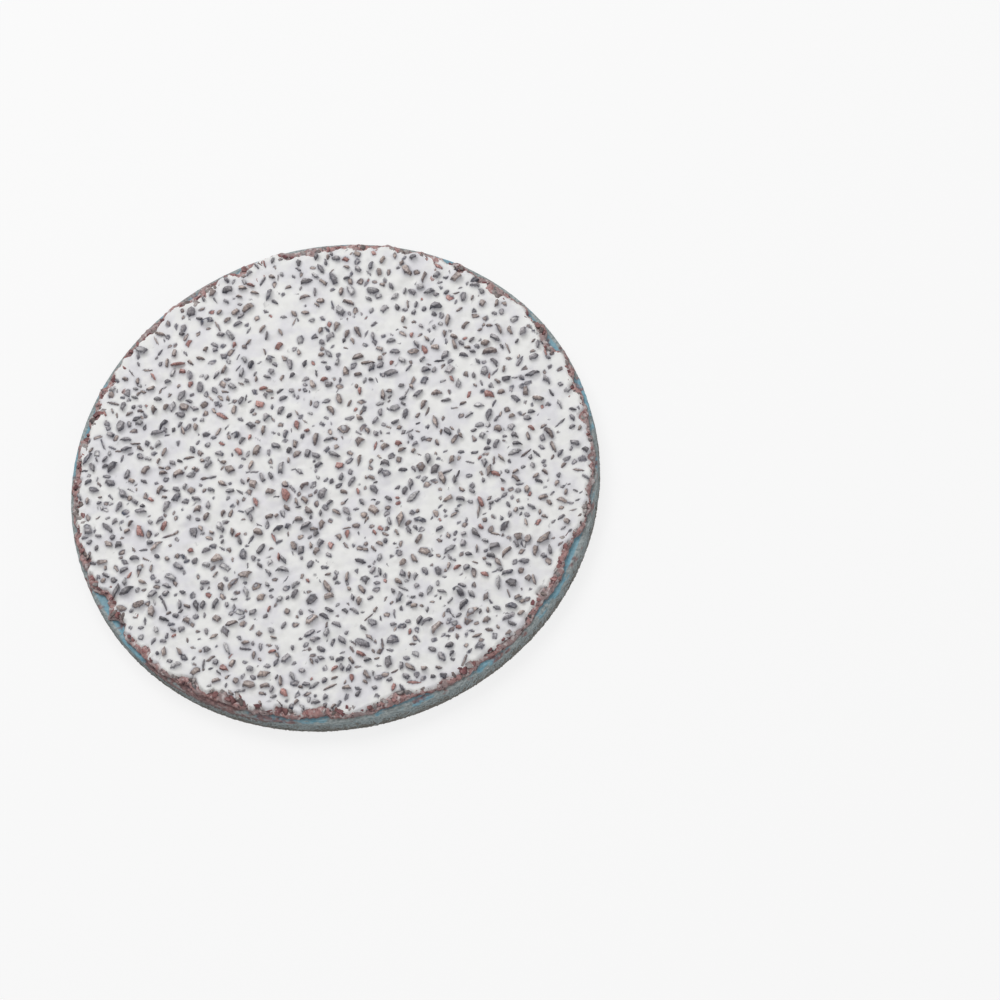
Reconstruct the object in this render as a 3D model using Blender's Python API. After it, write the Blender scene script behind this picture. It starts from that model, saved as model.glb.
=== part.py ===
"""A one inch hook-and-loop sanding disc: knitted loops, blue backing sheet, resin bond, and a white coat with grains.

The disc lies as it rests, loops down. The origin is its centre on the plane of the loop tips, and +Z points out of
the sanding face. Lengths are in metres and angles in degrees, counted anticlockwise from +X seen from above.
"""

import math
import random

import bmesh
import bpy
from mathutils import Vector
from mathutils.geometry import delaunay_2d_cdt

# The punched disc
DISC_DIAMETER = 0.0254
RIM_SIDES = 96

# The four bonded layers, from the loops up
LOOP_STAND = 0.00050
KNIT_THICKNESS = 0.00032
SHEET_THICKNESS = 0.00035
RESIN_THICKNESS = 0.00024
COAT_THICKNESS = 0.00016

# The rows that the loops of the knit stand in, each row wider at its root than at its tip
ROW_TIP_WIDTH = 0.00026
ROW_TAPER = 0.00010
ROW_GAP = 0.00018

# The brittle rim: the resin stops short of the punched edge, and the white coat short of the resin
RESIN_SETBACK = 0.00005
RESIN_RAGGEDNESS = 0.00016
COAT_SETBACK = 0.00006
COAT_RAGGEDNESS = 0.00026
RIM_POINTS = 200
RIM_SEED = 11

# Where the rim has flaked off down to the blue sheet: angle, width along the rim, and depth from the punched edge
CHIPS = (
    (2.8, 0.00135, 0.00028),
    (14.7, 0.00130, 0.00050),
    (23.0, 0.00095, 0.00032),
    (47.4, 0.00060, 0.00025),
    (82.6, 0.00060, 0.00028),
    (95.2, 0.00080, 0.00036),
    (106.8, 0.00070, 0.00042),
    (130.0, 0.00075, 0.00024),
    (134.0, 0.00080, 0.00026),
    (142.3, 0.00050, 0.00030),
    (146.8, 0.00100, 0.00036),
    (171.7, 0.00050, 0.00028),
    (190.2, 0.00150, 0.00052),
    (197.6, 0.00100, 0.00055),
    (219.5, 0.00060, 0.00032),
    (251.2, 0.00110, 0.00026),
    (271.0, 0.00230, 0.00030),
    (288.5, 0.00080, 0.00028),
    (306.5, 0.00210, 0.00028),
    (321.0, 0.00250, 0.00045),
    (335.7, 0.00065, 0.00028),
)

# The abrasive grains, sunk in the coat so that their crystal points stand out of it
GRAIN_LENGTH = 0.00062
GRAIN_WIDTH = 0.00038
GRAIN_STAND = 0.00030
LARGEST_GRAIN = 1.5
GRAIN_GAP = 0.00003
GRAIN_RIM_GAP = 0.00006
GRAINS_PER_MM2 = 1.6
BLUNT_SHARE = 0.2
BLUNT_SLOPE = 0.25
GRAIN_SEED = 5

MM = 0.001
TRIES_PER_GRAIN = 40

# Heights of the faces where the layers meet
KNIT_BOTTOM = LOOP_STAND
SHEET_BOTTOM = KNIT_BOTTOM + KNIT_THICKNESS
RESIN_BOTTOM = SHEET_BOTTOM + SHEET_THICKNESS
COAT_BOTTOM = RESIN_BOTTOM + RESIN_THICKNESS
COAT_TOP = COAT_BOTTOM + COAT_THICKNESS
DISC_RADIUS = DISC_DIAMETER / 2
ROW_PITCH = ROW_TIP_WIDTH + 2 * ROW_TAPER + ROW_GAP


def clear_scene():
    for obj in list(bpy.data.objects):
        bpy.data.objects.remove(obj, do_unlink=True)


def material(name, colour, roughness):
    """A plain dielectric finish."""
    made = bpy.data.materials.new(name)
    made.use_nodes = True
    shader = made.node_tree.nodes["Principled BSDF"]
    shader.inputs["Base Color"].default_value = (*colour, 1)
    shader.inputs["Roughness"].default_value = roughness
    shader.inputs["Metallic"].default_value = 0
    return made


def object_from(bm, name, *finishes):
    """Turns a bmesh into a named object that carries the given finishes."""
    bmesh.ops.recalc_face_normals(bm, faces=bm.faces[:])
    mesh = bpy.data.meshes.new(name)
    bm.to_mesh(mesh)
    bm.free()
    for finish in finishes:
        mesh.materials.append(finish)
    obj = bpy.data.objects.new(name, mesh)
    bpy.context.scene.collection.objects.link(obj)
    return obj


def disc(bm, radius, bottom, top):
    """A closed round slab with RIM_SIDES sides."""
    made = bmesh.ops.create_cone(
        bm, cap_ends=True, segments=RIM_SIDES, radius1=radius, radius2=radius, depth=top - bottom
    )
    bmesh.ops.translate(bm, verts=made["verts"], vec=(0, 0, (bottom + top) / 2))


def shade_round(obj):
    obj.data.shade_smooth()
    obj.data.set_sharp_from_angle(angle=math.radians(30))


def wobble(angle, seed):
    """A ragged value from 0 to 1 round the rim, built from waves of 9 to 61 cycles per turn."""
    rng = random.Random(seed)
    waves = [(cycles, rng.uniform(0, math.tau)) for cycles in (9, 17, 29, 43, 61)]
    total = sum(math.sin(cycles * angle + phase) for cycles, phase in waves)
    return 0.5 + 0.5 * total / len(waves) * 1.6


def chip_depth(angle):
    """How far in from the punched edge the rim has flaked off at this angle."""
    deepest = 0
    for centre, width, depth in CHIPS:
        off = (angle - math.radians(centre) + math.pi) % math.tau - math.pi
        share = abs(off) * DISC_RADIUS / (width / 2)
        if share < 1:
            deepest = max(deepest, depth * (1 - share**4))
    return deepest


def resin_radius(angle):
    ragged = RESIN_SETBACK + RESIN_RAGGEDNESS * max(0, wobble(angle, RIM_SEED))
    return DISC_RADIUS - max(ragged, chip_depth(angle))


def coat_radius(angle):
    return resin_radius(angle) - COAT_SETBACK - COAT_RAGGEDNESS * max(0, wobble(angle, RIM_SEED + 1))


def rim_outline(radius_at):
    """Points round the rim at the radius that radius_at gives for each angle."""
    angles = [math.tau * i / RIM_POINTS for i in range(RIM_POINTS)]
    return [Vector((radius_at(a) * math.cos(a), radius_at(a) * math.sin(a))) for a in angles]


def crosses(corners_a, corners_b, gap):
    """Whether two convex outlines come nearer than gap, by looking for a line that parts them."""
    for corners in (corners_a, corners_b):
        for start, end in zip(corners, corners[1:] + corners[:1]):
            across = Vector((end.y - start.y, start.x - end.x)).normalized()
            along_a = [across.dot(p) for p in corners_a]
            along_b = [across.dot(p) for p in corners_b]
            if min(along_b) - max(along_a) >= gap or min(along_a) - max(along_b) >= gap:
                return False
    return True


def grain_foot(rng, length, width, centre, turn):
    """Three or four corners, anticlockwise, on an ellipse of the grain's length and width."""
    count = rng.choice((3, 3, 3, 4))
    start = rng.uniform(0, math.tau)
    corners = []
    for i in range(count):
        angle = start + math.tau * (i + rng.uniform(-0.18, 0.18)) / count
        x, y = length / 2 * math.cos(angle), width / 2 * math.sin(angle)
        corners.append(
            Vector((x * math.cos(turn) - y * math.sin(turn), x * math.sin(turn) + y * math.cos(turn))) + centre
        )
    return corners


def meets_rim(foot, centre, outline):
    """Whether a grain's foot comes nearer than GRAIN_RIM_GAP to the coat's ragged edge, or lies past it."""
    if max(p.length for p in foot) < min(p.length for p in outline) - GRAIN_RIM_GAP:
        return False
    step = math.tau / RIM_POINTS
    here = int(math.atan2(centre.y, centre.x) % math.tau / step)
    reach = math.ceil(GRAIN_LENGTH * LARGEST_GRAIN / (DISC_RADIUS * step)) + 1
    near = [outline[(here + i) % RIM_POINTS] for i in range(-reach, reach + 2)]
    past_edge = centre.length > min(p.length for p in near[reach : reach + 2])
    return past_edge or any(crosses(foot, list(piece), GRAIN_RIM_GAP) for piece in zip(near, near[1:]))


def grain_feet(outline):
    """Outlines of the grains where they leave the coat, the large ones placed first, none touching another."""
    rng = random.Random(GRAIN_SEED)
    area_mm2 = math.pi * (DISC_RADIUS / MM) ** 2
    count = round(GRAINS_PER_MM2 * area_mm2)
    sizes = sorted((min(LARGEST_GRAIN, rng.lognormvariate(0, 0.28)) for _ in range(count)), reverse=True)
    reach = GRAIN_LENGTH * sizes[0] + GRAIN_GAP
    cells = {}
    placed = []
    for size in sizes:
        length = GRAIN_LENGTH * size
        width = GRAIN_WIDTH * size * rng.uniform(0.55, 1.15)
        for _ in range(TRIES_PER_GRAIN):
            turn, bearing = rng.uniform(0, math.pi), rng.uniform(0, math.tau)
            out = DISC_RADIUS * math.sqrt(rng.random())
            centre = Vector((out * math.cos(bearing), out * math.sin(bearing)))
            foot = grain_foot(rng, length, width, centre, turn)
            if meets_rim(foot, centre, outline):
                continue
            column, row = math.floor(centre.x / reach), math.floor(centre.y / reach)
            near = [cells.get((column + i, row + j), ()) for i in (-1, 0, 1) for j in (-1, 0, 1)]
            if any(crosses(foot, other, GRAIN_GAP) for group in near for other in group):
                continue
            cells.setdefault((column, row), []).append(foot)
            placed.append((foot, size))
            break
    return placed


def make_loop_knit(finish):
    """Knitted ground with the loops standing below it in straight rows, cut round by the punch."""
    bm = bmesh.new()
    rows = math.ceil(DISC_RADIUS / ROW_PITCH) + 1
    margin = 2 * ROW_PITCH
    tip = ROW_TIP_WIDTH / 2
    root = tip + ROW_TAPER
    section = []
    for row in range(-rows, rows + 1):
        y = row * ROW_PITCH
        section += [(y - root, KNIT_BOTTOM), (y - tip, 0), (y + tip, 0), (y + root, KNIT_BOTTOM)]
    section += [(section[-1][0], SHEET_BOTTOM), (section[0][0], SHEET_BOTTOM)]
    end = -(DISC_RADIUS + margin)
    profile = bm.faces.new([bm.verts.new((end, y, z)) for y, z in section])
    swept = bmesh.ops.extrude_face_region(bm, geom=[profile])
    moved = [v for v in swept["geom"] if isinstance(v, bmesh.types.BMVert)]
    bmesh.ops.translate(bm, verts=moved, vec=(-2 * end, 0, 0))
    knit = object_from(bm, "loop_knit", finish)

    bm = bmesh.new()
    disc(bm, DISC_RADIUS, -margin, SHEET_BOTTOM + margin)
    punch = object_from(bm, "punch")
    punch.hide_render = True
    punch.display_type = "WIRE"
    cut = knit.modifiers.new("punched_round", "BOOLEAN")
    cut.operation = "INTERSECT"
    cut.solver = "EXACT"
    cut.object = punch
    return knit


def make_backing_sheet(finish):
    bm = bmesh.new()
    disc(bm, DISC_RADIUS, SHEET_BOTTOM, RESIN_BOTTOM)
    sheet = object_from(bm, "backing_sheet", finish)
    shade_round(sheet)
    return sheet


def make_resin_bond(finish):
    """The resin bond under the white coat, with its ragged and chipped edge."""
    bm = bmesh.new()
    face = bm.faces.new([bm.verts.new((p.x, p.y, RESIN_BOTTOM)) for p in rim_outline(resin_radius)])
    raised = bmesh.ops.extrude_face_region(bm, geom=[face])
    top = [v for v in raised["geom"] if isinstance(v, bmesh.types.BMVert)]
    bmesh.ops.translate(bm, verts=top, vec=(0, 0, RESIN_THICKNESS))
    return object_from(bm, "resin_bond", finish)


def raise_point(bm, foot, stand, rng):
    """Draws the face over a grain's foot up to a single point, off centre."""
    toward = rng.choice(foot.verts).co.copy()
    made = bmesh.ops.poke(bm, faces=[foot])
    tip = made["verts"][0]
    tip.co = tip.co.lerp(toward, rng.uniform(0, 0.35))
    tip.co.z = COAT_TOP + stand
    return made["faces"]


def raise_facet(bm, foot, stand, rng):
    """Draws the foot up to a smaller facet that slopes, as on a crystal broken across."""
    middle = foot.calc_center_median()
    raised = bmesh.ops.extrude_discrete_faces(bm, faces=[foot])["faces"][0]
    sides = {face for edge in raised.edges for face in edge.link_faces}
    slope = Vector((rng.uniform(-1, 1), rng.uniform(-1, 1), 0)) * BLUNT_SLOPE
    narrowing = rng.uniform(0.45, 0.7)
    for vert in raised.verts:
        vert.co = middle.lerp(vert.co, narrowing)
        vert.co.z = COAT_TOP + stand * (1 + slope.dot((vert.co - middle).normalized()))
    return sides | {raised}


def make_grain_coat(coat_finish, grain_finish):
    """One body: the white coat, triangulated between the grains' feet, and the crystals that stand out of it."""
    outline = rim_outline(coat_radius)
    feet = grain_feet(outline)
    points, loops = [], []
    for corners in [outline, *(foot for foot, _ in feet)]:
        loops.append(list(range(len(points), len(points) + len(corners))))
        points += [p / MM for p in corners]
    flat, _, triangles, sources, _, inside = delaunay_2d_cdt(points, [], loops, 1, 1e-7, True)

    bm = bmesh.new()
    top = [bm.verts.new((p.x * MM, p.y * MM, COAT_TOP)) for p in flat]
    place = {source: vert for vert, found in zip(top, sources) for source in found}
    for corners, loops_over in zip(triangles, inside):
        if loops_over == [0]:
            bm.faces.new([top[i] for i in corners])
    rim = [place[i] for i in loops[0]]
    below = [bm.verts.new((v.co.x, v.co.y, COAT_BOTTOM)) for v in rim]
    bm.faces.new(below[::-1])
    for i, vert in enumerate(rim):
        bm.faces.new((rim[i - 1], vert, below[i], below[i - 1]))
    rng = random.Random(GRAIN_SEED + 1)
    blunt = round(BLUNT_SHARE * len(feet))
    for index, (loop, (_, size)) in enumerate(zip(loops[1:], feet)):
        foot = bm.faces.new([place[i] for i in loop])
        stand = GRAIN_STAND * min(1, size) * rng.uniform(0.6, 1)
        raise_grain = raise_facet if index < blunt else raise_point
        for face in raise_grain(bm, foot, stand, rng):
            face.material_index = 1
    return object_from(bm, "grain_coat", coat_finish, grain_finish)


def main():
    clear_scene()
    loops = material("brushed_loops", (0.31, 0.42, 0.48), 0.95)
    paper = material("blue_sheet", (0.17, 0.34, 0.43), 0.6)
    resin = material("red_brown_resin", (0.25, 0.10, 0.09), 0.5)
    white = material("white_coat", (0.75, 0.75, 0.74), 0.8)
    grain = material("grey_grain", (0.13, 0.12, 0.13), 0.45)
    make_loop_knit(loops)
    make_backing_sheet(paper)
    make_resin_bond(resin)
    make_grain_coat(white, grain)


main()
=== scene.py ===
"""Looks of the one inch sanding disc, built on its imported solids.

The solids give the layers' heights, the ragged outlines with their chips, and the place of each large grain.
Every piece here is worked out from those in millimetres, and turned into metres where its mesh is made.
"""

import collections
import math
import random

import bmesh
import bpy
import numpy as np
from mathutils import Euler, Matrix, Vector


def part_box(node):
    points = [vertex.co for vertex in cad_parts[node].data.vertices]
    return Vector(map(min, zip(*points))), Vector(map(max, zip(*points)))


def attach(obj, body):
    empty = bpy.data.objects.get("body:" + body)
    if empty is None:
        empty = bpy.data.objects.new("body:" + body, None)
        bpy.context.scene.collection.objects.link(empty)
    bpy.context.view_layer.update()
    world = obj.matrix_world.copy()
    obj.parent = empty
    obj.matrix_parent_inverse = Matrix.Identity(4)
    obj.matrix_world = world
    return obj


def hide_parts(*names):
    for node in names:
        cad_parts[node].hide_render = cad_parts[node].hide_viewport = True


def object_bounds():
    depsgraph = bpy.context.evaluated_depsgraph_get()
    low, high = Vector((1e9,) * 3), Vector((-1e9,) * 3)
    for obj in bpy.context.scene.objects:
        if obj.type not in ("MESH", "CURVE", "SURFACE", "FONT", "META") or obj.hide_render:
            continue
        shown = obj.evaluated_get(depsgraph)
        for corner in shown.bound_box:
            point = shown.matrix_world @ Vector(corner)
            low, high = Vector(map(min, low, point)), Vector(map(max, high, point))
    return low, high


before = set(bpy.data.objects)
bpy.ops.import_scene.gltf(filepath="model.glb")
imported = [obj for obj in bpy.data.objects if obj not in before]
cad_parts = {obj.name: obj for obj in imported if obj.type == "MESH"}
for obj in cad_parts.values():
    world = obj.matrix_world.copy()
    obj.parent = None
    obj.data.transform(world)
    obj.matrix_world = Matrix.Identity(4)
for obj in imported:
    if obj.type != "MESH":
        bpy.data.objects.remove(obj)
cad_low, cad_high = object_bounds()

MM = 0.001
TURN = math.tau

# The punched radius and the heights of the layers, from the solids, and the bare coat's own thickness
COAT_THICKNESS = 0.16
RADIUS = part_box("loop_knit")[1].x / MM
KNIT_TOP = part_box("loop_knit")[1].z / MM
SHEET_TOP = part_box("backing_sheet")[1].z / MM
RESIN_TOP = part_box("resin_bond")[1].z / MM
COAT_TOP = RESIN_TOP + COAT_THICKNESS

# The knit: its ground lies between the loops and the sheet
LOOP_STAND = 0.50
ROW_PITCH = 0.64
STITCH_PITCH = 0.80
KNIT_CELL = 0.10
FILAMENT_RADIUS = 0.020
FILAMENTS_PER_TUFT = 10
CUT_FILAMENTS = 2000

# The punched edge of the sheet, the steps round it, and where the punch dragged the most resin over it
SHEET_EDGE = RADIUS - 0.03
EDGE_STEPS = 1200
SMEAR_BEARING = math.radians(224)

# The resin: how far in it reaches under the coat, the least of it that shows, and the steps round it
RESIN_REACH = 1.3
RESIN_SHOWN = 0.11
RESIN_STEPS = 1500

# The white coat on a square grid, half the width of its broken edge, and where that sinks into the resin
COAT_CELL = 0.0725
COAT_BREAK = 0.045
COAT_FOOT = RESIN_TOP - 0.06

# How much of a solid grain's ellipse its shard fills, and the grains that are too small for the solid
SHARD_SHARE = 0.77
SMALL_GRAINS = 500
SMALL_TOPS = (0.03, 0.14)
DROWNED_GRAINS = 500
DROWNED_TOPS = (-0.03, 0.06)
SMALL_LENGTH = (0.27, 0.53)
SLIVER_SHARE = 0.20
SLIVER_LENGTH = (0.40, 0.85)
RIM_GRAIN_PITCH = 0.26

# How far a shard may lean, in radians
GRAIN_TILT = 0.22
SMALL_TILT = 0.45
RIM_TILT = 0.5

# Lumps of the coat's face, of its edge and of the resin, each as height, size and seed
COAT_RIPPLES = (0.028, 1.9, 21), (0.048, 0.7, 22), (0.030, 0.28, 23)
COAT_SPILL = (0.10, 1.3, 33), (0.18, 0.42, 31), (0.08, 0.16, 32)
RESIN_LUMPS = (0.09, 0.5, 42), (0.05, 0.2, 43), (0.02, 0.08, 44)

GRAIN_SEED = 3
PILE_SEED = 4
FRINGE_SEED = 6

# The world's own light, and the floor: its width in metres, and how much of it is plain white to the camera
WORLD_STRENGTH = 0.34
FLOOR_WIDTH = 4
FLOOR_WHITE = 0.8

# The camera: the photograph looks down at 62 degrees, and is turned 19 degrees about the line of sight
CAMERA_ELEVATION = math.radians(62)
CAMERA_ROLL = math.radians(19)
CAMERA_DISTANCE = 0.60
SENSOR_WIDTH = 0.036
IMAGE_WIDTH_PX = 1000
DISC_CENTRE_PX = (334.0, 482.8)
DISC_WIDTH_PX = 534


class Value:
    """One output of a tree's nodes. Python's operators on it add Math nodes."""

    def __init__(self, nodes, output):
        self.nodes = nodes
        self.output = output

    def maths(self, operation, first, second):
        return self.nodes.node("ShaderNodeMath", {"operation": operation}, {0: first, 1: second})

    def __add__(self, other):
        return self.maths("ADD", self, other)

    def __mul__(self, other):
        return self.maths("MULTIPLY", self, other)

    __radd__ = __add__
    __rmul__ = __mul__


class Nodes:
    """A node tree. Any node comes from its type, its settings, and the values or links of its sockets."""

    def __init__(self, tree):
        self.tree = tree

    def node(self, kind, settings=None, sockets=None, output=0):
        made = self.tree.nodes.new(kind)
        for name, value in (settings or {}).items():
            setattr(made, name, value)
        for key, value in (sockets or {}).items():
            self.feed(made.inputs[key], value)
        return Value(self, made.outputs[output])

    def feed(self, socket, value):
        if isinstance(value, Value):
            self.tree.links.new(value.output, socket)
        else:
            socket.default_value = value

    def where_seen(self, lit, white, share):
        """Mixes in a white shader for what the camera sees, also in metal or glass. It lights nothing."""
        rays = "Is Camera Ray", "Is Glossy Ray", "Is Transmission Ray"
        camera, glossy, through = (self.node("ShaderNodeLightPath", output=ray) for ray in rays)
        seen = camera + glossy + through
        return self.node("ShaderNodeMixShader", {}, {0: seen * share, 1: lit, 2: white})


class Finish(Nodes):
    """A material on a Principled BSDF, with the constants of its shader's own sockets given by name."""

    def __init__(self, name, **constants):
        self.material = bpy.data.materials.new(name)
        self.material.use_nodes = True
        super().__init__(self.material.node_tree)
        self.shader = self.tree.nodes["Principled BSDF"]
        for socket, value in constants.items():
            self.set(socket.replace("_", " "), value)

    def set(self, socket, value):
        self.feed(self.shader.inputs[socket], value)

    def place(self):
        return self.node("ShaderNodeTexCoord", output="Object")

    def painted(self, name, output="Fac"):
        return self.node("ShaderNodeAttribute", {"attribute_name": name}, output=output)

    def noise(self, size_mm, detail=3.0, roughness=0.55):
        sockets = {"Vector": self.place(), "Scale": 1 / (size_mm * MM), "Detail": detail}
        return self.node("ShaderNodeTexNoise", {}, {**sockets, "Roughness": roughness})

    def between(self, value, low, high, to_low=0.0, to_high=1.0):
        """Maps low..high to to_low..to_high, eased at both ends and held outside."""
        ends = {"From Min": low, "From Max": high, "To Min": to_low, "To Max": to_high}
        return self.node("ShaderNodeMapRange", {"interpolation_type": "SMOOTHSTEP"}, {"Value": value, **ends})

    def mix(self, factor, first, second, blend="MIX"):
        first, second = (c if isinstance(c, Value) else (*c, 1.0) for c in (first, second))
        settings = {"data_type": "RGBA", "blend_type": blend}
        return self.node("ShaderNodeMix", settings, {0: factor, 6: first, 7: second}, 2)

    def bump(self, height, distance_mm, strength=1.0):
        sockets = {"Height": height, "Distance": distance_mm * MM, "Strength": strength}
        self.set("Normal", self.node("ShaderNodeBump", {}, sockets))


def srgb(red, green, blue):
    """A colour as picked from a screen, 0 to 255, in the linear values that shaders take."""
    return tuple(c / 3294.6 if c <= 10.31 else ((c / 255 + 0.055) / 1.055) ** 2.4 for c in (red, green, blue))


def piece_from(name, points, faces, finish, replaces=()):
    """A named mesh from points in millimetres. It rides on the disc."""
    mesh = bpy.data.meshes.new(name)
    mesh.from_pydata((np.asarray(points) * MM).tolist(), [], np.asarray(faces).tolist())
    mesh.validate()
    mesh.materials.append(finish.material)
    mesh.polygons.foreach_set("use_smooth", np.ones(len(mesh.polygons), bool))
    piece = bpy.data.objects.new(name, mesh)
    bpy.context.scene.collection.objects.link(piece)
    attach(piece, "root")
    if replaces:
        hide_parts(*replaces)
    return piece


def paint(piece, name, values):
    """One number for each point of a piece, for its finish to read."""
    layer = piece.data.attributes.new(name, "FLOAT", "POINT")
    layer.data.foreach_set("value", np.asarray(values, np.float32))


def lay_flat_map(piece):
    """A map seen from above for the faces that look up, beside one seen from below for the rest."""
    mesh = piece.data
    corners = np.empty(len(mesh.loops), np.int32)
    mesh.loops.foreach_get("vertex_index", corners)
    place = np.empty(len(mesh.vertices) * 3)
    mesh.vertices.foreach_get("co", place)
    place = place.reshape(-1, 3)[corners, :2] / (2.1 * RADIUS * MM) + 0.5
    normals = np.empty(len(mesh.polygons) * 3)
    mesh.polygons.foreach_get("normal", normals)
    counts = np.empty(len(mesh.polygons), np.int32)
    mesh.polygons.foreach_get("loop_total", counts)
    down = np.repeat(normals.reshape(-1, 3)[:, 2] < 0, counts)
    if down.any():
        place[:, 0] = place[:, 0] / 2 + 0.5 * down
    layer = mesh.uv_layers.new(name="OFBake")
    layer.uv.foreach_set("vector", place.astype(np.float32).ravel())


def lay_ring_map(piece, rings, count):
    """A map for faces made by ring_faces: once round the disc across it, one strip for each pair of rings."""
    i, j = np.meshgrid(np.arange(rings - 1), np.arange(count), indexing="ij")
    i, j = i.ravel(), j.ravel()
    place = np.stack([j, i, j, i + 1, j + 1, i + 1, j + 1, i], 1).reshape(-1, 2) / (count, rings - 1)
    layer = piece.data.uv_layers.new(name="OFBake")
    layer.uv.foreach_set("vector", place.astype(np.float32).ravel())


def noise_at(x, y, size, seed):
    """Smooth noise from -1 to 1 of its own seed, with bumps about size apart. It repeats past the disc."""
    count = math.ceil(2.2 * RADIUS / size)
    lattice = np.random.default_rng(seed).uniform(-1, 1, (count, count))
    i, j = np.floor(x / size).astype(int), np.floor(y / size).astype(int)
    u, v = x / size - i, y / size - j
    u, v = u * u * (3 - 2 * u), v * v * (3 - 2 * v)
    i, j, i_next, j_next = i % count, j % count, (i + 1) % count, (j + 1) % count
    low = lattice[i, j] * (1 - u) + lattice[i_next, j] * u
    high = lattice[i, j_next] * (1 - u) + lattice[i_next, j_next] * u
    return low * (1 - v) + high * v


def lumps_at(x, y, lumps):
    """Several layers of noise in one, each given as its height, size and seed."""
    return sum(height * noise_at(x, y, size, seed) for height, size, seed in lumps)


def blurred(field, reach):
    """A grid of numbers after a bell-shaped blur, weakened to a seventh at this many cells."""
    steps = range(-math.ceil(2 * reach), math.ceil(2 * reach) + 1)
    weights = [math.exp(-2 * (step / reach) ** 2) for step in steps]
    for axis in (0, 1):
        shifted = (weight * np.roll(field, step, axis) for step, weight in zip(steps, weights))
        field = sum(shifted) / sum(weights)
    return field


def eased(value, low, high):
    share = np.clip((value - low) / (high - low), 0, 1)
    return share * share * (3 - 2 * share)


def solid_mesh(node):
    """Welded points in millimetres of a CAD node, and its triangles as point numbers."""
    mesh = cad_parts[node].data
    place = np.empty(len(mesh.vertices) * 3)
    mesh.vertices.foreach_get("co", place)
    points, same = np.unique(np.round(place.reshape(-1, 3) / MM, 3), axis=0, return_inverse=True)
    corners = np.empty(len(mesh.loops), np.int32)
    mesh.loops.foreach_get("vertex_index", corners)
    return points, same.reshape(-1)[corners].reshape(-1, 3)


def solid_edge(node):
    """Angles and radii, in order, of the ragged outline of a CAD node at its underside."""
    points, _ = solid_mesh(node)
    foot = points[points[:, 2] < points[:, 2].min() + 0.001]
    angles = np.arctan2(foot[:, 1], foot[:, 0]) % TURN
    order = np.argsort(angles)
    return angles[order], np.hypot(foot[:, 0], foot[:, 1])[order]


RESIN_EDGE = solid_edge("resin_bond")
COAT_EDGE = solid_edge("grain_coat")


def edge_at(edge, angle):
    return np.interp(angle, edge[0], edge[1], period=TURN)


Grain = collections.namedtuple("Grain", "x y turn length width top")


def solid_grains():
    """The grains of the CAD solid: each group of raised points, with the ellipse that its foot fits."""
    points, triangles = solid_mesh("grain_coat")
    raised = points[:, 2] > COAT_TOP + 0.02
    leader = list(range(len(points)))

    def lead(i):
        while leader[i] != i:
            i = leader[i]
        return i

    for a, b, c in triangles:
        for i, j in ((a, b), (b, c), (c, a)):
            if raised[i] and raised[j]:
                leader[lead(i)] = lead(j)
    feet, tops = collections.defaultdict(set), collections.defaultdict(float)
    for triangle in triangles:
        peaks = [i for i in triangle if raised[i]]
        for i in peaks:
            feet[lead(i)].update(j for j in triangle if not raised[j])
            tops[lead(i)] = max(tops[lead(i)], points[i, 2])
    grains = []
    for group in sorted(feet):
        foot = points[sorted(feet[group]), :2]
        middle = foot.mean(0)
        spread, axes = np.linalg.eigh(np.cov((foot - middle).T, bias=True))
        width, length = SHARD_SHARE * np.sqrt(8 * np.maximum(spread, 1e-4))
        turn = math.atan2(axes[1, 1], axes[0, 1])
        grains.append(Grain(*middle, turn, length, width, tops[group]))
    return grains


def strewn_grains(placed, count, tops, rng):
    """More grains between those already placed, their tops this far over the coat. Few come near another."""
    grains = list(placed)
    cells = collections.defaultdict(list)
    for grain in grains:
        cells[int(grain.x // 1), int(grain.y // 1)].append(grain)
    while len(grains) < len(placed) + count:
        out, bearing = RADIUS * math.sqrt(rng.random()), rng.uniform(0, TURN)
        length, slimness = rng.uniform(*SMALL_LENGTH), rng.uniform(0.3, 0.85)
        if rng.random() < SLIVER_SHARE:
            length, slimness = rng.uniform(*SLIVER_LENGTH), rng.uniform(0.12, 0.22)
        if out > edge_at(COAT_EDGE, bearing) - length / 2:
            continue
        x, y = out * math.cos(bearing), out * math.sin(bearing)
        near = [g for i in (-1, 0, 1) for j in (-1, 0, 1) for g in cells[int(x // 1) + i, int(y // 1) + j]]
        if any(math.hypot(g.x - x, g.y - y) < 0.36 * (g.length + min(length, 0.4)) for g in near):
            continue
        top = COAT_TOP + rng.uniform(*tops)
        grain = Grain(x, y, rng.uniform(0, math.pi), length, length * slimness, top)
        cells[int(x // 1), int(y // 1)].append(grain)
        grains.append(grain)
    return grains


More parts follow.
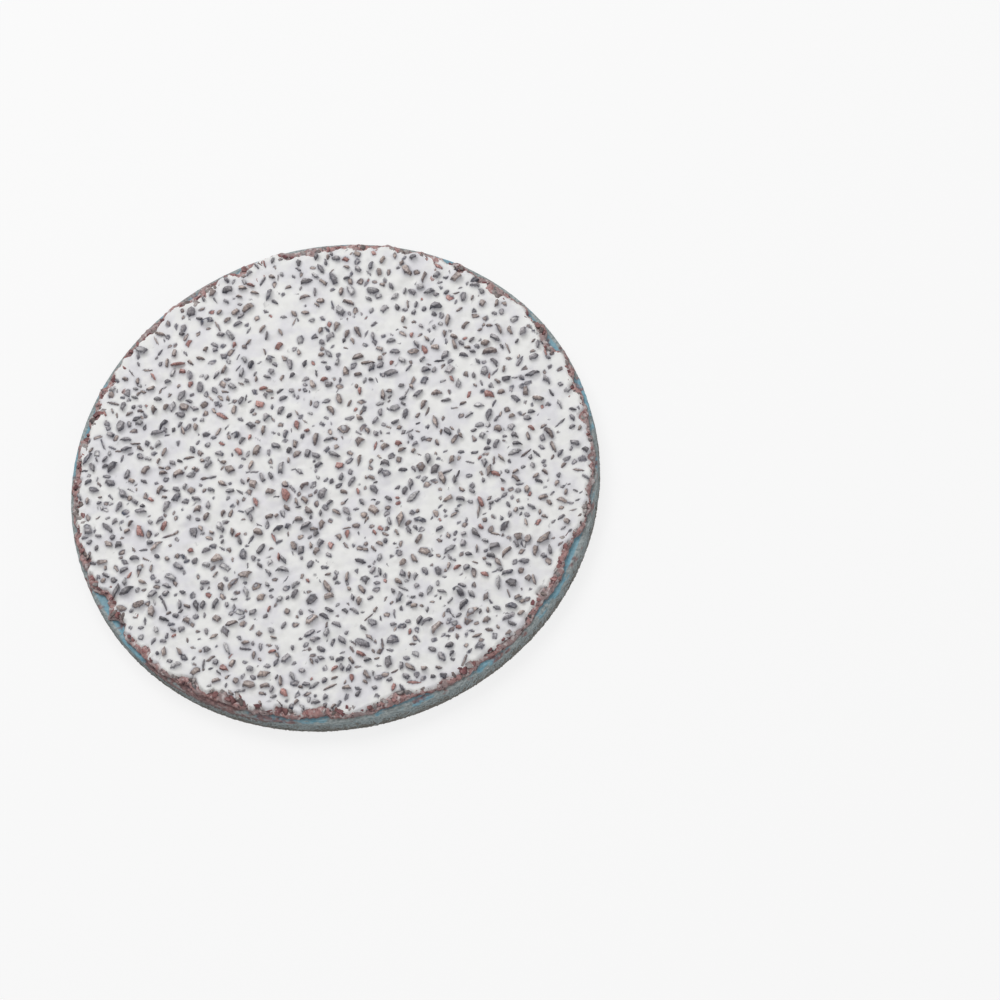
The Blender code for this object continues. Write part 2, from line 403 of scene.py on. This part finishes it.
def crystal(grain, tilt, rng):
    """Points of one shard: rings from its buried foot, widest just under the coat, up to its crown."""
    rise = max(0, grain.top - COAT_TOP)
    sides = rng.randint(4, 7)
    crown = rng.uniform(0.40, 0.84)
    shoulder = crown + (1 - crown) * rng.uniform(0.35, 0.7)
    start = rng.uniform(0, TURN)
    aside = rng.uniform(-0.16, 0.16), rng.uniform(-0.16, 0.16)
    corners = []
    for i in range(sides):
        angle = start + TURN * (i + rng.uniform(-0.3, 0.3)) / sides
        corners.append((angle, rng.uniform(0.72, 1.14)))
    buried = (0.55, -0.16), (1.0, -0.04)
    standing = (0.94, 0.3 * rise), (shoulder, 0.75 * rise), (crown, rise)
    points = []
    for out, height in buried + standing:
        lean = max(0, height) / max(rise, 0.01)
        for angle, far in corners:
            reach = out * far * rng.uniform(0.95, 1.05)
            x = reach * math.cos(angle) + lean * aside[0]
            y = reach * math.sin(angle) + lean * aside[1]
            points.append((x, y, height + rng.uniform(-0.012, 0.012)))
    points = np.array(points) * (grain.length / 2, grain.width / 2, 1)
    tilted = Euler((rng.uniform(-tilt, tilt), rng.uniform(-tilt, tilt), 0)).to_matrix()
    turned = Euler((0, 0, grain.turn)).to_matrix()
    points = points @ np.array(turned @ tilted).T
    return points + (grain.x, grain.y, grain.top - points[:, 2].max())


def hull(points):
    """Corner points and triangles of the tightest convex body round some points."""
    bm = bmesh.new()
    for point in points:
        bm.verts.new(point)
    made = bmesh.ops.convex_hull(bm, input=bm.verts[:])
    loose = {v for v in made["geom_interior"] + made["geom_unused"] if isinstance(v, bmesh.types.BMVert)}
    bmesh.ops.delete(bm, geom=list(loose), context="VERTS")
    bmesh.ops.recalc_face_normals(bm, faces=bm.faces[:])
    bm.verts.index_update()
    corners = np.array([v.co for v in bm.verts])
    faces = np.array([[v.index for v in f.verts] for f in bm.faces])
    bm.free()
    return corners, faces


def face_normals(corners, faces):
    a, b, c = (corners[faces[:, i]] for i in range(3))
    normals = np.cross(b - a, c - a)
    return normals / np.maximum(np.linalg.norm(normals, axis=1, keepdims=True), 1e-12)


# Shard palettes: the grains' own tones, and from side to top painted light, with painted shade down the sides
# and lighter tops as if lit from above.
Palette = collections.namedtuple("Palette", "share side top")

GRAIN_PALETTES = (
    Palette(0.33, srgb(99, 100, 111), srgb(194, 189, 191)),
    Palette(0.37, srgb(107, 97, 100), srgb(208, 191, 182)),
    Palette(0.13, srgb(83, 83, 93), srgb(148, 143, 145)),
    Palette(0.12, srgb(105, 103, 112), srgb(230, 228, 228)),
    Palette(0.05, srgb(150, 106, 102), srgb(212, 162, 154)),
)
RIM_PALETTES = (
    Palette(0.30, srgb(102, 66, 66), srgb(166, 116, 113)),
    Palette(0.24, srgb(80, 46, 50), srgb(132, 80, 82)),
    Palette(0.24, srgb(74, 65, 66), srgb(136, 122, 117)),
    Palette(0.22, srgb(98, 94, 98), srgb(186, 177, 173)),
)


def crystals_piece(name, shards, level_at, palettes, finish, rng):
    """Many shards in one mesh, each of one palette: dark where it leaves the coat, its own darker tone with
    painted shade, and lighter on top with painted light from above.
    """
    points, faces, colours = [], [], []
    first = 0
    for corners, triangles in shards:
        palette = rng.choices(palettes, [p.share for p in palettes])[0]
        side, top = np.array(palette.side), np.array(palette.top)
        tone = rng.uniform(0.86, 1.1)
        # Painted light by height above the coat, scaled for each grain: lighter towards the top, painted
        # shade low down where the shard leaves the coat.
        light = rng.uniform(0.45, 1)
        up = corners[:, 2] - level_at(corners[:, 0], corners[:, 1])
        crown = np.clip((up / max(0.03, up.max()) - 0.25) / 0.45, -0.25, 1) * light
        colours.append(tone * (side + np.outer(crown, top - side)))
        points.append(corners)
        faces.append(triangles + first)
        first += len(corners)
    piece = piece_from(name, np.vstack(points), np.vstack(faces), finish)
    piece.data.set_sharp_from_angle(angle=math.radians(38))
    layer = piece.data.attributes.new("shard_colour_and_painted_light", "FLOAT_COLOR", "POINT")
    shades = np.ones((first, 4), np.float32)
    shades[:, :3] = np.maximum(np.vstack(colours), 0.01)
    layer.data.foreach_set("color", shades.ravel())
    lay_flat_map(piece)


def roof_of(shards, x, y):
    """On a grid, the height of the shards' upper faces, and far below where there is none."""
    roof = np.full((len(x), len(y)), -1.0)
    for corners, faces in shards:
        low, high = corners.min(0), corners.max(0)
        i0, i1 = np.searchsorted(x, (low[0], high[0]))
        j0, j1 = np.searchsorted(y, (low[1], high[1]))
        if i0 == i1 or j0 == j1:
            continue
        gx, gy = np.meshgrid(x[i0:i1], y[j0:j1], indexing="ij")
        normals = face_normals(corners, faces)
        ceiling, floor = np.full(gx.shape, 9.0), np.full(gx.shape, -9.0)
        for normal, corner in zip(normals, corners[faces[:, 0]]):
            if abs(normal[2]) < 0.02:
                continue
            plane = corner[2] - (normal[0] * (gx - corner[0]) + normal[1] * (gy - corner[1])) / normal[2]
            if normal[2] > 0:
                ceiling = np.minimum(ceiling, plane)
            else:
                floor = np.maximum(floor, plane)
        view = roof[i0:i1, j0:j1]
        np.maximum(view, np.where(ceiling >= floor, ceiling, -1.0), out=view)
    return roof


def grid_faces(inside, number):
    """Quads over a grid's cells whose four corners all lie inside."""
    whole = inside[:-1, :-1] & inside[1:, :-1] & inside[1:, 1:] & inside[:-1, 1:]
    i, j = np.nonzero(whole)
    return np.stack([number[i, j], number[i + 1, j], number[i + 1, j + 1], number[i, j + 1]], 1)


class Coat:
    """The coat's level on a square grid: rippled, and climbing at each shard that stands out of it."""

    def __init__(self, shards):
        self.line = np.arange(-RADIUS, RADIUS + COAT_CELL, COAT_CELL)
        self.x, self.y = np.meshgrid(self.line, self.line, indexing="ij")
        self.roof = roof_of(shards, self.line, self.line)
        level = COAT_TOP - 0.02 + lumps_at(self.x, self.y, COAT_RIPPLES)
        lift = np.clip(self.roof - level, 0, 0.3)
        climb = 0.85 + 0.55 * noise_at(self.x, self.y, 0.42, 24)
        self.level = level + 0.4 * blurred(lift, 1.3) + climb * blurred(lift, 3.4)

    def level_at(self, x, y):
        cells = (np.round((c + RADIUS) / COAT_CELL).astype(int) for c in (x, y))
        i, j = (np.clip(cell, 0, len(self.line) - 1) for cell in cells)
        return self.level[i, j]


def make_white_coat(coat, finish):
    """The coat as one skin that breaks off raggedly over the resin's edge."""
    x, y = coat.x, coat.y
    out, bearing = np.hypot(x, y), np.arctan2(y, x)
    spill = lumps_at(x, y, COAT_SPILL) - 0.06
    inset = edge_at(COAT_EDGE, bearing) - out + spill
    inset = np.minimum(inset, edge_at(RESIN_EDGE, bearing) - out - RESIN_SHOWN)
    cover = coat.level - coat.roof
    inside = inset > -1.5 * COAT_BREAK
    number = np.cumsum(inside).reshape(inside.shape) - 1
    faces = grid_faces(inside, number)
    border = np.zeros_like(inside)
    border[inside] = np.bincount(faces.ravel(), minlength=inside.sum()) < 4
    reach = np.where(border, inset + COAT_BREAK, 0)
    x, y = x + reach * np.cos(bearing), y + reach * np.sin(bearing)
    inset = np.where(border, -COAT_BREAK, inset)
    level = COAT_FOOT + (coat.level - COAT_FOOT) * eased(inset, -COAT_BREAK, COAT_BREAK)
    points = np.stack([x[inside], y[inside], level[inside]], 1)
    piece = piece_from("white_coat", points, faces, finish, replaces=["grain_coat"])
    thin = np.where(coat.roof > 0, np.exp(-np.clip(cover, 0, 1) / 0.024), 0)
    paint(piece, "thin", thin[inside])
    # Painted shade on the coat round each grain that stands out of it.
    paint(piece, "painted_grain_shade", blurred((cover < 0).astype(float), 2.6)[inside])
    paint(piece, "edge", (1 - eased(inset, -COAT_BREAK, 0.04))[inside])
    lay_flat_map(piece)


def ring_faces(rings, count):
    """Quads between neighbouring closed rings of count points each."""
    i, j = np.meshgrid(np.arange(rings - 1), np.arange(count), indexing="ij")
    i, j = i.ravel(), j.ravel()
    after = (j + 1) % count
    return np.stack([i * count + j, (i + 1) * count + j, (i + 1) * count + after, i * count + after], 1)


def ring_at(out, angle, height=0.0):
    """One closed ring: how far out each of its points lies, its angle, and its height."""
    return np.stack([out * np.cos(angle), out * np.sin(angle), height + 0 * angle], 1)


def piece_of_rings(name, rings, finish, replaces=()):
    """A piece from closed rings of points. Returns it with all its points."""
    count = len(rings[0])
    points = np.concatenate(rings)
    piece = piece_from(name, points, ring_faces(len(rings), count), finish, replaces)
    lay_ring_map(piece, len(rings), count)
    return piece, points


def make_resin_rim(finish):
    """The lumpy resin that shows past the coat's edge, and its broken side down to the sheet."""
    angle = np.arange(RESIN_STEPS) * TURN / RESIN_STEPS
    edge = edge_at(RESIN_EDGE, angle)
    x, y, _ = ring_at(edge, angle).T
    edge = np.minimum(edge + 0.05 * noise_at(x, y, 0.16, 41) - 0.01, RADIUS - 0.04)
    rings = []
    for inset in np.concatenate([np.linspace(RESIN_REACH, 0.3, 7)[:-1], np.linspace(0.3, 0, 8)]):
        x, y, _ = ring_at(edge - inset, angle).T
        fall = 0.10 * (1 - eased(inset, 0, 0.12))
        level = RESIN_TOP + 0.02 + lumps_at(x, y, RESIN_LUMPS) - fall
        rings.append(ring_at(edge - inset, angle, level))
    x, y, top = rings[-1].T
    for share in (0.2, 0.45, 0.7, 1.0):
        bulge = 0.035 * noise_at(x, y + 3 * share, 0.2, 45) - 0.02
        rings.append(ring_at(edge + bulge, angle, top + (SHEET_TOP - 0.02 - top) * share))
    piece_of_rings("resin_rim", rings, finish, replaces=["resin_bond"])


def make_rim_shards(rng):
    """Grains that the coat has broken away from, standing in the resin all round the rim, in clumps."""
    shards = []
    angle = 0
    while angle < TURN:
        edge = float(edge_at(RESIN_EDGE, angle))
        clump = 0.5 + 0.5 * noise_at(edge * math.cos(angle), edge * math.sin(angle), 1.1, 46)
        length = rng.uniform(0.18, 0.34) + 0.24 * clump
        out = edge - 0.45 * length - rng.uniform(0, 0.12 + 0.2 * clump)
        top = COAT_TOP + rng.uniform(-0.14, -0.04) + 0.1 * clump
        turn = rng.uniform(0, math.pi)
        width = length * rng.uniform(0.5, 0.9)
        grain = Grain(out * math.cos(angle), out * math.sin(angle), turn, length, width, top)
        shards.append(hull(crystal(grain, RIM_TILT, rng)))
        angle += RIM_GRAIN_PITCH * rng.uniform(0.5, 1.3) * (1.6 - clump) / RADIUS
    return shards


def smear_at(x, y):
    """How much resin the punch dragged down over the cut edge here, from 0 to 1."""
    near = np.cos(np.arctan2(y, x) - SMEAR_BEARING)
    return eased(near + 0.03 * noise_at(x, y, 0.8, 71), 0.92, 0.975)


def make_blue_sheet(finish):
    """The sheet with a fibrous cut edge, showing where the resin has flaked off it."""
    angle = np.arange(EDGE_STEPS) * TURN / EDGE_STEPS
    rings, wall = [], []
    for out in (0, RADIUS - 1.6, *np.linspace(RADIUS - 1.2, SHEET_EDGE, 12)):
        x, y, _ = ring_at(out, angle).T
        fibres = 0.015 * noise_at(x, y, 0.18, 51) * (out > 0)
        rings.append(ring_at(out, angle, SHEET_TOP - 0.015 + fibres))
        wall.append(0.15 if out > RADIUS - 0.2 else 0)
    x, y, _ = ring_at(0.9 * RADIUS, angle).T
    for share in (0.15, 0.35, 0.55, 0.75, 0.95):
        rough = 0.03 * noise_at(x, y + 2 * share, 0.22, 52)
        rings.append(ring_at(SHEET_EDGE + rough, angle, SHEET_TOP + (KNIT_TOP - SHEET_TOP) * share))
        wall.append(share)
    rings.append(ring_at(0, angle, KNIT_TOP + 0.01))
    wall.append(1)
    piece, points = piece_of_rings("blue_sheet", rings, finish, replaces=["backing_sheet"])
    paint(piece, "wall", np.repeat(wall, EDGE_STEPS))
    paint(piece, "smear", smear_at(points[:, 0], points[:, 1]))


def knit_pattern(x, y):
    """How much yarn lies at a point of the ground: 1 on the stitches, down to 0 in the slits between them."""
    x = x + 0.10 * noise_at(x, y, 0.9, 63)
    y = y + 0.08 * noise_at(x, y, 0.7, 65)
    row = np.round(y / ROW_PITCH)
    along = x / STITCH_PITCH + 0.5 * (row % 2)
    aside, above = (along - np.round(along)) * STITCH_PITCH, y - row * ROW_PITCH
    slit = np.exp(-((aside / 0.26) ** 2) - (above / 0.13) ** 2)
    return np.clip(1 - slit * (1.15 + 0.6 * noise_at(x, y, 0.3, 64)), 0, 1)


def make_knit_ground(finish):
    """The knitted ground under the loops, with a slit between each two stitches of a row."""
    line = np.arange(-RADIUS, RADIUS + KNIT_CELL, KNIT_CELL)
    x, y = np.meshgrid(line, line, indexing="ij")
    stitch = knit_pattern(x, y)
    level = LOOP_STAND + 0.10 - 0.10 * stitch
    inside = np.hypot(x, y) < RADIUS - 0.12
    number = np.cumsum(inside).reshape(inside.shape) - 1
    points = np.stack([x[inside], y[inside], level[inside]], 1)
    piece = piece_from("knit_ground", points, grid_faces(inside, number)[:, ::-1], finish)
    paint(piece, "stitch", stitch[inside])
    lay_flat_map(piece)


def make_knit_edge(finish):
    """The punched wall of the knit, down behind the outermost loops."""
    angle = np.arange(EDGE_STEPS) * TURN / EDGE_STEPS
    x, y, _ = ring_at(0.9 * RADIUS, angle).T
    rings = []
    for depth in np.linspace(0, KNIT_TOP - 0.03, 12):
        lumps = 0.012 * noise_at(x, y + 2 * depth, 0.17, 61)
        out = RADIUS - 0.045 - 0.015 * eased(depth, 0.05, 0.45) + lumps
        rings.append(ring_at(out, angle, KNIT_TOP - depth))
    for inset, height in ((0.09, 0.08), (0.14, 0.25), (0.20, LOOP_STAND)):
        rings.append(ring_at(RADIUS - inset, angle, height))
    piece, points = piece_of_rings("knit_edge", rings, finish)
    paint(piece, "height", points[:, 2] / KNIT_TOP)
    paint(piece, "smear", smear_at(points[:, 0], points[:, 1]))


def tubes(paths, radius):
    """Points and quads of three-sided threads, for an array of paths: threads by steps by coordinates."""
    threads, steps, _ = paths.shape
    ahead = np.gradient(paths, axis=1)
    ahead /= np.maximum(np.linalg.norm(ahead, axis=2, keepdims=True), 1e-9)
    side = np.cross(ahead, (0.13, 0.21, 0.97))
    side /= np.maximum(np.linalg.norm(side, axis=2, keepdims=True), 1e-9)
    other = np.cross(ahead, side)
    angles = np.arange(3) * TURN / 3
    ring = np.cos(angles)[:, None] * side[:, :, None] + np.sin(angles)[:, None] * other[:, :, None]
    points = paths[:, :, None] + ring * radius
    thread, step, corner = np.meshgrid(np.arange(threads), np.arange(steps - 1), np.arange(3), indexing="ij")
    base = ((thread * steps + step) * 3).ravel()
    corner = corner.ravel()
    after = (corner + 1) % 3
    faces = np.stack([base + corner, base + after, base + 3 + after, base + 3 + corner], 1)
    return points.reshape(-1, 3), faces


def make_cut_loops(finishes, rng):
    """Loops that the punch cut through, a dense fringe inside the rim. The darker ones hang lower, their
    darkness painted shade near the floor.
    """
    spans = ((0.48, KNIT_TOP), (0.12, 0.45)), ((0.30, KNIT_TOP - 0.1), (0.022, 0.10))
    for name, finish, (tops, ends) in zip(("cut_loops_pale", "cut_loops_in_painted_shade"), finishes, spans):
        start = rng.uniform(0, TURN, CUT_FILAMENTS)
        swing = rng.normal(0, 0.03, CUT_FILAMENTS)
        out = RADIUS - rng.uniform(0.04, 0.07, CUT_FILAMENTS)
        top, low = rng.uniform(*tops, CUT_FILAMENTS), rng.uniform(*ends, CUT_FILAMENTS)
        paths = np.empty((CUT_FILAMENTS, 4, 3))
        for k, share in enumerate(np.linspace(0, 1, 4)):
            paths[:, k] = ring_at(out, start + swing * share, top + (low - top) * share**0.7)
        points, faces = tubes(paths, 1.2 * FILAMENT_RADIUS)
        piece_from(name, points, faces, finish)


def tuft_roots():
    """Where the tufts of loops leave the ground: the stitches, each row half a stitch past the last."""
    roots = []
    rows = int(RADIUS / ROW_PITCH) + 1
    columns = int(RADIUS / STITCH_PITCH) + 1
    for row in range(-rows, rows + 1):
        for column in range(-columns, columns + 1):
            x, y = (column + 0.5 + 0.5 * (row % 2)) * STITCH_PITCH, row * ROW_PITCH
            if math.hypot(x, y) < RADIUS - 0.12:
                roots.append((x, y))
    return np.array(roots)


def make_loop_pile(finishes, rng):
    """Brushed loops: each filament leaves its stitch, arches down to the loops' tips and ends nearby."""
    roots = np.repeat(tuft_roots(), FILAMENTS_PER_TUFT, axis=0)
    count = len(roots)
    start = roots + rng.normal(0, 0.09, (count, 2))
    lean = TURN / 4 * rng.choice((-1, 1), count) + rng.normal(0, 0.75, count)
    reach = rng.uniform(0.35, 1.15, count)
    end = start + reach[:, None] * np.stack([np.cos(lean), np.sin(lean)], 1)
    sag = rng.normal(0, 0.09, count)
    depth = rng.uniform(0.45, 1.0, count)
    steps = np.linspace(0, 1, 6)
    arch = np.sin(math.pi * steps)
    paths = np.empty((count, len(steps), 3))
    for k, (share, bow) in enumerate(zip(steps, arch)):
        paths[:, k, :2] = start + (end - start) * share
        paths[:, k, 0] -= sag * bow * np.sin(lean)
        paths[:, k, 1] += sag * bow * np.cos(lean)
        paths[:, k, 2] = LOOP_STAND + 0.04 - (LOOP_STAND + 0.02 - FILAMENT_RADIUS) * depth * bow**0.7
    out = np.hypot(paths[:, :, 0], paths[:, :, 1])
    keep = np.minimum(1, (RADIUS - rng.uniform(0.06, 0.3, count))[:, None] / np.maximum(out, 1e-6))
    paths[:, :, :2] *= keep[:, :, None]
    shuffled = rng.permutation(count)
    for name, finish, half in zip(("pale_loops", "shaded_loops"), finishes, np.array_split(shuffled, 2)):
        points, faces = tubes(paths[half], FILAMENT_RADIUS)
        piece_from(name, points, faces, finish, replaces=["loop_knit"])


def white_coat_finish():
    finish = Finish("white_coat", Specular_IOR_Level=0.35)
    stain = finish.between(finish.noise(1.3, 3), 0.40, 0.66)
    clean = finish.mix(stain * 0.8, srgb(243, 243, 241), srgb(228, 227, 232))
    # Painted shade round the grains that stand out of the coat, greying the coat near them.
    painted_grain_shade = finish.between(finish.painted("painted_grain_shade"), 0.0, 0.45)
    shaded = finish.mix(painted_grain_shade * 0.8, clean, srgb(184, 183, 190))
    thin = finish.between(finish.painted("thin"), 0.04, 0.9)
    greyed = finish.mix(thin * 0.9, shaded, srgb(106, 103, 111))
    # Darker and reddish in patches towards the coat's broken edge.
    reddish_edge_patches = finish.between(finish.noise(0.2, 4), 0.3, 0.6)
    finish.set("Base Color", finish.mix(finish.painted("edge") * reddish_edge_patches * 0.6, greyed, srgb(132, 112, 110)))
    finish.set("Roughness", finish.between(finish.noise(0.3, 3), 0.2, 0.8, 0.45, 0.7))
    finish.bump(finish.noise(0.12, 4, 0.6), 0.02, 0.5)
    return finish


def shard_finish(name, roughness):
    finish = Finish(name, Specular_IOR_Level=0.5)
    grime = finish.noise(0.10, 3, 0.6)
    # The shards' own tones with their painted light and shade.
    colour = finish.painted("shard_colour_and_painted_light", "Color")
    darker = finish.mix(finish.between(grime, 0.42, 0.62) * 0.75, colour, (0.42, 0.41, 0.44), "MULTIPLY")
    finish.set("Base Color", darker)
    finish.set("Roughness", finish.between(grime, 0.2, 0.8, roughness - 0.1, roughness + 0.15))
    finish.bump(grime, 0.012, 0.5)
    return finish


def resin_finish():
    finish = Finish("red_brown_resin", Specular_IOR_Level=0.5)
    lumps = finish.noise(0.22, 4, 0.6)
    colour = finish.mix(finish.between(lumps, 0.3, 0.7), srgb(134, 93, 92), srgb(190, 149, 145))
    stains = finish.between(finish.noise(0.8, 3, 0.6), 0.42, 0.62)
    colour = finish.mix(stains * 0.7, colour, srgb(152, 141, 141))
    pits = finish.between(finish.noise(0.16, 3, 0.6), 0.54, 0.66)
    colour = finish.mix(pits, colour, srgb(68, 52, 56))
    dust = finish.between(finish.noise(0.24, 3, 0.5), 0.52, 0.66)
    finish.set("Base Color", finish.mix(dust * 0.8, colour, srgb(212, 204, 203)))
    finish.set("Roughness", finish.between(lumps, 0.2, 0.8, 0.35, 0.6))
    finish.bump(finish.noise(0.10, 4, 0.65), 0.04, 0.8)
    return finish


def blue_sheet_finish():
    finish = Finish("blue_sheet", Specular_IOR_Level=0.3)
    fibres = finish.noise(0.15, 4, 0.65)
    colour = finish.mix(finish.between(fibres, 0.3, 0.7), srgb(112, 162, 182), srgb(146, 188, 202))
    grime = finish.between(finish.noise(0.9, 3, 0.6), 0.45, 0.65)
    colour = finish.mix(grime * 0.3, colour, srgb(150, 164, 166))
    bare = finish.between(finish.noise(1.7, 3, 0.65), 0.36, 0.52)
    worn = finish.between(0.5 * finish.painted("wall") + 0.85 * bare, 0.25, 0.8)
    grey = finish.mix(finish.between(fibres, 0.35, 0.65), srgb(132, 142, 143), srgb(180, 188, 188))
    colour = finish.mix(finish.between(finish.painted("wall"), 0.0, 0.12) * worn, colour, grey)
    residue = finish.between(finish.noise(1.1, 3, 0.65) + 0.17 * finish.painted("smear"), 0.55, 0.65)
    resin = finish.mix(finish.between(fibres, 0.4, 0.6), srgb(112, 78, 78), srgb(158, 118, 115))
    finish.set("Base Color", finish.mix(residue * 0.85, colour, resin))
    finish.set("Roughness", finish.between(fibres, 0.2, 0.8, 0.6, 0.85))
    finish.bump(fibres, 0.04, 0.8)
    return finish


def ground_finish():
    finish = Finish("knit_ground", Specular_IOR_Level=0.2)
    stitch = finish.painted("stitch")
    fuzz = finish.noise(0.10, 3, 0.6)
    yarn = finish.between(stitch + 0.5 * fuzz, 0.45, 1.15)
    finish.set("Base Color", finish.mix(yarn, srgb(64, 108, 134), srgb(170, 192, 201)))
    finish.set("Roughness", finish.between(fuzz, 0.2, 0.8, 0.8, 1.0))
    finish.bump(fuzz, 0.03, 0.8)
    return finish


def filament_finish(name, red, green, blue):
    return Finish(name, Base_Color=(*srgb(red, green, blue), 1), Roughness=0.5, Specular_IOR_Level=0.4)


def knit_edge_finish():
    finish = Finish("cut_edge", Roughness=0.9, Specular_IOR_Level=0.2)
    fuzz = finish.noise(0.12, 3, 0.6)
    # Lighter and bluer at the top, darker and warmer towards the floor: grey loop ends with painted shade
    # near the floor.
    upper = finish.mix(finish.between(fuzz, 0.35, 0.65), srgb(134, 146, 149), srgb(174, 183, 184))
    lower = finish.mix(finish.between(fuzz, 0.35, 0.65), srgb(116, 112, 106), srgb(158, 154, 148))
    high = finish.between(finish.painted("height") + 0.5 * finish.noise(0.7, 3), 0.45, 1.05)
    smeared = finish.between(finish.painted("smear") * finish.painted("height") + 0.5 * fuzz, 0.75, 1.05)
    finish.set("Base Color", finish.mix(smeared * 0.8, finish.mix(high, lower, upper), srgb(124, 96, 94)))
    finish.bump(fuzz, 0.03, 0.8)
    return finish


def make_floor():
    """A pale floor. To the camera it is mostly plain white, and for the rest lit, to keep the shadow."""
    bpy.ops.mesh.primitive_plane_add(size=FLOOR_WIDTH)
    floor = bpy.context.object
    floor.name = "floor"
    finish = Finish("floor", Roughness=0.9, Specular_IOR_Level=0.1)
    finish.set("Base Color", (0.85, 0.85, 0.85, 1))
    glow = finish.node("ShaderNodeEmission", {}, {"Color": (1, 1, 1, 1), "Strength": 1})
    both = finish.where_seen(Value(finish, finish.shader.outputs[0]), glow, FLOOR_WHITE)
    finish.feed(finish.tree.nodes["Material Output"].inputs["Surface"], both)
    floor.data.materials.append(finish.material)


def make_lamp(name, bearing, elevation, distance, size, power):
    """A soft square lamp aimed at the disc. A bearing of 90 degrees is behind the disc."""
    light = bpy.data.lights.new(name, "AREA")
    light.size = size
    light.energy = power
    lamp = bpy.data.objects.new(name, light)
    bearing, elevation = math.radians(bearing), math.radians(elevation)
    flat = math.cos(elevation)
    direction = Vector((flat * math.cos(bearing), flat * math.sin(bearing), math.sin(elevation)))
    lamp.location = direction * distance
    lamp.rotation_euler = direction.to_track_quat("Z", "Y").to_euler()
    bpy.context.scene.collection.objects.link(lamp)


def make_light():
    world = bpy.data.worlds.new("studio")
    world.use_nodes = True
    sky = Nodes(world.node_tree)
    lit = sky.node("ShaderNodeBackground", {}, {"Color": (1, 1, 1, 1), "Strength": WORLD_STRENGTH})
    white = sky.node("ShaderNodeBackground", {}, {"Color": (1, 1, 1, 1), "Strength": 1})
    sky.feed(sky.tree.nodes["World Output"].inputs["Surface"], sky.where_seen(lit, white, 1))
    bpy.context.scene.world = world
    make_lamp("key", bearing=100, elevation=56, distance=0.23, size=0.14, power=0.30)
    make_lamp("fill", bearing=300, elevation=32, distance=0.50, size=0.50, power=0.50)


def make_camera():
    """Aims the camera so that the disc has the place, size and turn that it has in the photograph."""
    up_flat = Vector((0, math.sin(CAMERA_ELEVATION), math.cos(CAMERA_ELEVATION)))
    along = Vector((1, 0, 0))
    right = along * math.cos(CAMERA_ROLL) - up_flat * math.sin(CAMERA_ROLL)
    up = along * math.sin(CAMERA_ROLL) + up_flat * math.cos(CAMERA_ROLL)
    back = right.cross(up)
    metres_per_px = 2 * RADIUS * MM / DISC_WIDTH_PX
    middle = Vector((0, 0, (cad_low[2] + cad_high[2]) / 2))
    aside = right * (IMAGE_WIDTH_PX / 2 - DISC_CENTRE_PX[0]) * metres_per_px
    aside -= up * (IMAGE_WIDTH_PX / 2 - DISC_CENTRE_PX[1]) * metres_per_px
    camera_data = bpy.data.cameras.new("camera")
    camera_data.sensor_width = SENSOR_WIDTH / MM
    camera_data.lens = SENSOR_WIDTH / MM * CAMERA_DISTANCE / (IMAGE_WIDTH_PX * metres_per_px)
    camera_data.clip_end = 10
    camera = bpy.data.objects.new("camera", camera_data)
    camera.rotation_euler = Matrix((right, up, back)).transposed().to_euler()
    camera.location = middle + aside + back * CAMERA_DISTANCE
    bpy.context.scene.collection.objects.link(camera)
    bpy.context.scene.camera = camera


def main():
    rng = random.Random(GRAIN_SEED)
    grains = solid_grains()
    shards = [hull(crystal(grain, GRAIN_TILT, rng)) for grain in grains]
    with_small = strewn_grains(grains, SMALL_GRAINS, SMALL_TOPS, rng)
    with_drowned = strewn_grains(with_small, DROWNED_GRAINS, DROWNED_TOPS, rng)
    shards += [hull(crystal(grain, SMALL_TILT, rng)) for grain in with_drowned[len(grains) :]]
    coat = Coat(shards)
    make_white_coat(coat, white_coat_finish())
    grain_finish = shard_finish("grey_brown_grain", 0.38)
    crystals_piece("grain_shards", shards, coat.level_at, GRAIN_PALETTES, grain_finish, rng)
    rim_finish = shard_finish("resin_coated_grain", 0.42)
    rim = make_rim_shards(rng)
    crystals_piece(
        "rim_shards", rim, lambda x, y: RESIN_TOP, RIM_PALETTES, rim_finish, rng
    )
    make_resin_rim(resin_finish())
    make_blue_sheet(blue_sheet_finish())
    make_knit_ground(ground_finish())
    make_knit_edge(knit_edge_finish())
    pale = filament_finish("pale_loops", 216, 229, 236)
    shaded = filament_finish("shaded_loops", 178, 201, 213)
    make_loop_pile((pale, shaded), np.random.default_rng(PILE_SEED))
    pale_cut = filament_finish("cut_loops_pale", 168, 178, 180)
    # A darker copy of the cut loops for the low-hanging ones: painted shade near the floor.
    dark_cut = filament_finish("cut_loops_in_painted_shade", 132, 129, 123)
    make_cut_loops((pale_cut, dark_cut), np.random.default_rng(FRINGE_SEED))
    make_floor()
    make_light()
    make_camera()
    bpy.context.scene.view_settings.view_transform = "Standard"


main()
